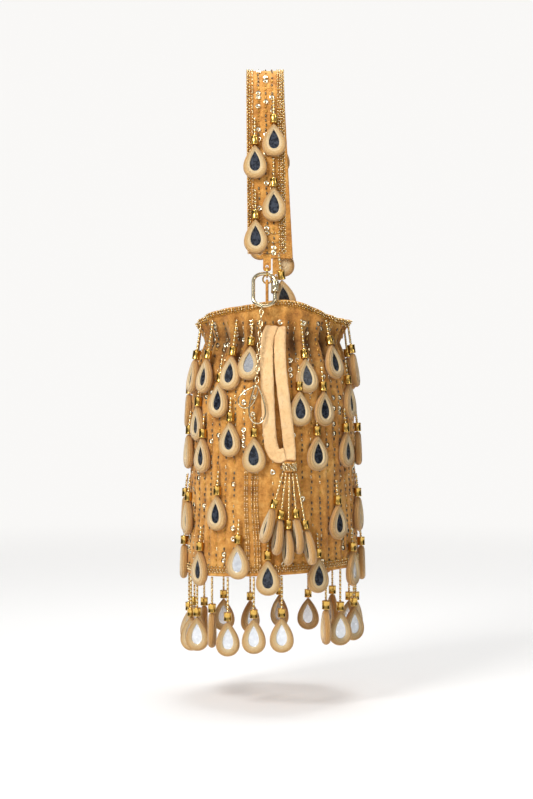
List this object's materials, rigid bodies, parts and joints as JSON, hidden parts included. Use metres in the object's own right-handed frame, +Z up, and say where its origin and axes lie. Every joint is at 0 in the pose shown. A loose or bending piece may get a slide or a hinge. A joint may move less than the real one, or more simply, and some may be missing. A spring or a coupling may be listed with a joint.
{
  "type": "potli bag",
  "caption": "Gathered velvet drawstring pouch hung on a beaded wrist handle, with padded mirror-drop charms all round, a quick link and a short chain.",
  "frame": {"origin": "the point the bag hangs from, the inside top of the handle's loop", "axes": "+Z up, +X to the right and +Y away from the front"},
  "size_m": [0.1383, 0.1513, 0.4307],
  "materials": {
    "golden_velvet": "tan velvet sewn with beads and sequins",
    "peach_velvet": "light peach velvet",
    "peach_lining": "satin lining",
    "gold": "polished gold-coloured metal",
    "pale_gold": "polished pale gold plate",
    "padded_drop": "beaded string, gold cap and cord-wound velvet drop round a mirror"
  },
  "bodies": {
    "handle": {"handle_strap": "golden_velvet", "tab_front": "golden_velvet", "tab_back": "golden_velvet", "ring_upper_front": "gold", "ring_upper_back": "gold"},
    "bag": {"bag_shell": "golden_velvet", "lining": "peach_lining", "base_panel": "golden_velvet", "drawstring": "peach_velvet", "drawstring_wrap": "gold", "ring_lower_front": "gold", "ring_lower_back": "gold", "bag_loop_front": "golden_velvet", "bag_loop_back": "golden_velvet"},
    "link": {"quick_link": "pale_gold"},
    "sleeve": {"link_sleeve": "pale_gold"},
    "chain": {"chain": "pale_gold", "chain_end_ring": "pale_gold"},
    "pendant_small": {"pendant_small": "gold"},
    "pendant_large": {"pendant_large": "gold"},
    "strap_charm_front_1": {"strap_charm_front_1": "padded_drop"},
    "strap_charm_front_2": {"strap_charm_front_2": "padded_drop"},
    "strap_charm_front_3": {"strap_charm_front_3": "padded_drop"},
    "strap_charm_front_4": {"strap_charm_front_4": "padded_drop"},
    "strap_charm_front_5": {"strap_charm_front_5": "padded_drop"},
    "strap_charm_back_1": {"strap_charm_back_1": "padded_drop"},
    "strap_charm_back_2": {"strap_charm_back_2": "padded_drop"},
    "strap_charm_back_3": {"strap_charm_back_3": "padded_drop"},
    "strap_charm_back_4": {"strap_charm_back_4": "padded_drop"},
    "frill_charm_1": {"frill_charm_1": "padded_drop"},
    "frill_charm_2": {"frill_charm_2": "padded_drop"},
    "frill_charm_3": {"frill_charm_3": "padded_drop"},
    "frill_charm_4": {"frill_charm_4": "padded_drop"},
    "frill_charm_5": {"frill_charm_5": "padded_drop"},
    "frill_charm_6": {"frill_charm_6": "padded_drop"},
    "frill_charm_7": {"frill_charm_7": "padded_drop"},
    "hem_charm_01": {"hem_charm_01": "padded_drop"},
    "hem_charm_02": {"hem_charm_02": "padded_drop"},
    "hem_charm_03": {"hem_charm_03": "padded_drop"},
    "hem_charm_04": {"hem_charm_04": "padded_drop"},
    "hem_charm_05": {"hem_charm_05": "padded_drop"},
    "hem_charm_06": {"hem_charm_06": "padded_drop"},
    "hem_charm_07": {"hem_charm_07": "padded_drop"},
    "hem_charm_08": {"hem_charm_08": "padded_drop"},
    "hem_charm_09": {"hem_charm_09": "padded_drop"},
    "hem_charm_10": {"hem_charm_10": "padded_drop"},
    "hem_charm_11": {"hem_charm_11": "padded_drop"},
    "hem_charm_12": {"hem_charm_12": "padded_drop"},
    "hem_charm_13": {"hem_charm_13": "padded_drop"},
    "hem_charm_14": {"hem_charm_14": "padded_drop"},
    "hem_charm_15": {"hem_charm_15": "padded_drop"},
    "hem_charm_16": {"hem_charm_16": "padded_drop"},
    "hem_charm_17": {"hem_charm_17": "padded_drop"},
    "hem_charm_18": {"hem_charm_18": "padded_drop"},
    "hem_charm_19": {"hem_charm_19": "padded_drop"},
    "tassel_charm_1": {"tassel_charm_1": "padded_drop"},
    "tassel_charm_2": {"tassel_charm_2": "padded_drop"},
    "tassel_charm_3": {"tassel_charm_3": "padded_drop"},
    "tassel_charm_4": {"tassel_charm_4": "padded_drop"},
    "tassel_charm_5": {"tassel_charm_5": "padded_drop"}
  },
  "joints": [
    {"name": "bag_swing", "type": "hinge", "parent": "handle", "child": "bag", "pos_m": [0.0051, 0, -0.1556], "axis": [0.0854, 0.9963, 0], "range_deg": [-12, 12]},
    {"name": "link_hinge", "type": "hinge", "parent": "bag", "child": "link", "pos_m": [-0.0006, -0.0431, -0.15229], "axis": [-1, 0, 0], "range_deg": [0, 60]},
    {"name": "sleeve_slide", "type": "slide", "parent": "link", "child": "sleeve", "axis": [0, -0.4067, -0.9135], "range_m": [0, 0.0042]},
    {"name": "chain_hinge", "type": "hinge", "parent": "link", "child": "chain", "pos_m": [-0.0022, -0.05378, -0.17628], "axis": [-1, 0, 0], "range_deg": [0, 45]},
    {"name": "pendant_small_hinge", "type": "hinge", "parent": "chain", "child": "pendant_small", "pos_m": [-0.006, -0.06555, -0.23498], "axis": [0, 1, 0], "range_deg": [0, 25]},
    {"name": "pendant_large_hinge", "type": "hinge", "parent": "chain", "child": "pendant_large", "pos_m": [-0.006, -0.06745, -0.23498], "axis": [0, 1, 0], "range_deg": [-8, 25]},
    {"name": "strap_charm_front_1_hinge", "type": "hinge", "parent": "handle", "child": "strap_charm_front_1", "pos_m": [0.00624, -0.02715, -0.02105], "axis": [-1, 0, 0], "range_deg": [0, 70]},
    {"name": "strap_charm_front_2_hinge", "type": "hinge", "parent": "handle", "child": "strap_charm_front_2", "pos_m": [-0.00761, -0.03154, -0.03688], "axis": [-1, 0, 0], "range_deg": [0, 70]},
    {"name": "strap_charm_front_3_hinge", "type": "hinge", "parent": "handle", "child": "strap_charm_front_3", "pos_m": [0.0061, -0.03712, -0.06707], "axis": [-1, 0, 0], "range_deg": [0, 70]},
    {"name": "strap_charm_front_4_hinge", "type": "hinge", "parent": "handle", "child": "strap_charm_front_4", "pos_m": [-0.00707, -0.04026, -0.09058], "axis": [-1, 0, 0], "range_deg": [0, 70]},
    {"name": "strap_charm_front_5_hinge", "type": "hinge", "parent": "handle", "child": "strap_charm_front_5", "pos_m": [0.01, -0.042, -0.1383], "axis": [-1, 0, 0], "range_deg": [-25, 0]},
    {"name": "strap_charm_back_1_hinge", "type": "hinge", "parent": "handle", "child": "strap_charm_back_1", "pos_m": [0.00845, 0.02815, -0.02327], "axis": [1, 0, 0], "range_deg": [0, 70]},
    {"name": "strap_charm_back_2_hinge", "type": "hinge", "parent": "handle", "child": "strap_charm_back_2", "pos_m": [-0.00555, 0.03272, -0.04132], "axis": [1, 0, 0], "range_deg": [0, 70]},
    {"name": "strap_charm_back_3_hinge", "type": "hinge", "parent": "handle", "child": "strap_charm_back_3", "pos_m": [-0.00576, 0.04068, -0.09136], "axis": [1, 0, 0], "range_deg": [0, 70]},
    {"name": "strap_charm_back_4_hinge", "type": "hinge", "parent": "handle", "child": "strap_charm_back_4", "pos_m": [0.01221, 0.04188, -0.10138], "axis": [1, 0, 0], "range_deg": [0, 70]},
    {"name": "frill_charm_1_hinge", "type": "hinge", "parent": "bag", "child": "frill_charm_1", "pos_m": [-0.04726, -0.0182, -0.18753], "axis": [-0.3256, 0.9455, 0], "range_deg": [0, 60]},
    {"name": "frill_charm_2_hinge", "type": "hinge", "parent": "bag", "child": "frill_charm_2", "pos_m": [-0.03805, -0.03289, -0.1855], "axis": [-0.6018, 0.7986, 0], "range_deg": [0, 60]},
    {"name": "frill_charm_3_hinge", "type": "hinge", "parent": "bag", "child": "frill_charm_3", "pos_m": [0.04437, -0.03491, -0.1855], "axis": [-0.6691, -0.7431, 0], "range_deg": [0, 60]},
    {"name": "frill_charm_4_hinge", "type": "hinge", "parent": "bag", "child": "frill_charm_4", "pos_m": [0.06178, -0.00991, -0.1879], "axis": [-0.1736, -0.9848, 0], "range_deg": [0, 60]},
    {"name": "frill_charm_5_hinge", "type": "hinge", "parent": "bag", "child": "frill_charm_5", "pos_m": [0.0492, 0.03168, -0.18561], "axis": [0.5878, -0.809, 0], "range_deg": [0, 60]},
    {"name": "frill_charm_6_hinge", "type": "hinge", "parent": "bag", "child": "frill_charm_6", "pos_m": [0.0056, 0.0494, -0.1855], "axis": [1, 0, 0], "range_deg": [0, 60]},
    {"name": "frill_charm_7_hinge", "type": "hinge", "parent": "bag", "child": "frill_charm_7", "pos_m": [-0.03888, 0.03232, -0.1855], "axis": [0.5878, 0.809, 0], "range_deg": [0, 60]},
    {"name": "hem_charm_01_hinge", "type": "hinge", "parent": "bag", "child": "hem_charm_01", "pos_m": [-0.05706, 0.00219, -0.37247], "axis": [0.0349, 0.9994, 0], "range_deg": [-5, 60]},
    {"name": "hem_charm_02_hinge", "type": "hinge", "parent": "bag", "child": "hem_charm_02", "pos_m": [-0.05473, -0.01707, -0.37235], "axis": [-0.2723, 0.9622, 0], "range_deg": [-5, 60]},
    {"name": "hem_charm_03_hinge", "type": "hinge", "parent": "bag", "child": "hem_charm_03", "pos_m": [-0.04966, -0.02963, -0.37208], "axis": [-0.4726, 0.8813, 0], "range_deg": [-5, 60]},
    {"name": "hem_charm_04_hinge", "type": "hinge", "parent": "bag", "child": "hem_charm_04", "pos_m": [-0.03827, -0.0448, -0.37149], "axis": [-0.7145, 0.6997, 0], "range_deg": [-5, 60]},
    {"name": "hem_charm_05_hinge", "type": "hinge", "parent": "bag", "child": "hem_charm_05", "pos_m": [-0.02669, -0.05374, -0.37089], "axis": [-0.8572, 0.515, 0], "range_deg": [-5, 60]},
    {"name": "hem_charm_06_hinge", "type": "hinge", "parent": "bag", "child": "hem_charm_06", "pos_m": [-0.00797, -0.06121, -0.36992], "axis": [-0.9763, 0.2164, 0], "range_deg": [-5, 60]},
    {"name": "hem_charm_07_hinge", "type": "hinge", "parent": "bag", "child": "hem_charm_07", "pos_m": [0.01194, -0.06238, -0.36889], "axis": [-0.9949, -0.1011, 0], "range_deg": [-5, 60]},
    {"name": "hem_charm_08_hinge", "type": "hinge", "parent": "bag", "child": "hem_charm_08", "pos_m": [0.04386, -0.04968, -0.36724], "axis": [-0.7923, -0.6101, 0], "range_deg": [-5, 60]},
    {"name": "hem_charm_09_hinge", "type": "hinge", "parent": "bag", "child": "hem_charm_09", "pos_m": [0.05467, -0.03903, -0.36668], "axis": [-0.6225, -0.7826, 0], "range_deg": [-5, 60]},
    {"name": "hem_charm_10_hinge", "type": "hinge", "parent": "bag", "child": "hem_charm_10", "pos_m": [0.06556, -0.01833, -0.36611], "axis": [-0.2924, -0.9563, 0], "range_deg": [-5, 60]},
    {"name": "hem_charm_11_hinge", "type": "hinge", "parent": "bag", "child": "hem_charm_11", "pos_m": [0.06816, 0.00415, -0.36598], "axis": [0.0663, -0.9978, 0], "range_deg": [-5, 60]},
    {"name": "hem_charm_12_hinge", "type": "hinge", "parent": "bag", "child": "hem_charm_12", "pos_m": [0.06413, 0.02247, -0.36619], "axis": [0.3584, -0.9336, 0], "range_deg": [-5, 60]},
    {"name": "hem_charm_13_hinge", "type": "hinge", "parent": "bag", "child": "hem_charm_13", "pos_m": [0.05219, 0.04195, -0.3668], "axis": [0.6691, -0.7431, 0], "range_deg": [-5, 60]},
    {"name": "hem_charm_14_hinge", "type": "hinge", "parent": "bag", "child": "hem_charm_14", "pos_m": [0.03377, 0.05601, -0.36776], "axis": [0.8934, -0.4493, 0], "range_deg": [-5, 60]},
    {"name": "hem_charm_15_hinge", "type": "hinge", "parent": "bag", "child": "hem_charm_15", "pos_m": [0.01139, 0.06243, -0.36892], "axis": [0.9957, -0.0924, 0], "range_deg": [-5, 60]},
    {"name": "hem_charm_16_hinge", "type": "hinge", "parent": "bag", "child": "hem_charm_16", "pos_m": [-0.01168, 0.06027, -0.37012], "axis": [0.9613, 0.2756, 0], "range_deg": [-5, 60]},
    {"name": "hem_charm_17_hinge", "type": "hinge", "parent": "bag", "child": "hem_charm_17", "pos_m": [-0.0324, 0.04988, -0.37119], "axis": [0.7955, 0.606, 0], "range_deg": [-5, 60]},
    {"name": "hem_charm_18_hinge", "type": "hinge", "parent": "bag", "child": "hem_charm_18", "pos_m": [-0.04698, 0.03415, -0.37195], "axis": [0.5446, 0.8387, 0], "range_deg": [-5, 60]},
    {"name": "hem_charm_19_hinge", "type": "hinge", "parent": "bag", "child": "hem_charm_19", "pos_m": [-0.05386, 0.01989, -0.3723], "axis": [0.3173, 0.9483, 0], "range_deg": [-5, 60]},
    {"name": "tassel_charm_1_hinge", "type": "hinge", "parent": "bag", "child": "tassel_charm_1", "pos_m": [0.0128, -0.06787, -0.29525], "axis": [-1, 0, 0], "range_deg": [0, 70]},
    {"name": "tassel_charm_2_hinge", "type": "hinge", "parent": "bag", "child": "tassel_charm_2", "pos_m": [0.0151, -0.06787, -0.29525], "axis": [-1, 0, 0], "range_deg": [0, 70]},
    {"name": "tassel_charm_3_hinge", "type": "hinge", "parent": "bag", "child": "tassel_charm_3", "pos_m": [0.0174, -0.06787, -0.29525], "axis": [-1, 0, 0], "range_deg": [0, 70]},
    {"name": "tassel_charm_4_hinge", "type": "hinge", "parent": "bag", "child": "tassel_charm_4", "pos_m": [0.0197, -0.06787, -0.29525], "axis": [-1, 0, 0], "range_deg": [0, 70]},
    {"name": "tassel_charm_5_hinge", "type": "hinge", "parent": "bag", "child": "tassel_charm_5", "pos_m": [0.022, -0.06787, -0.29525], "axis": [-1, 0, 0], "range_deg": [0, 70]}
  ]
}
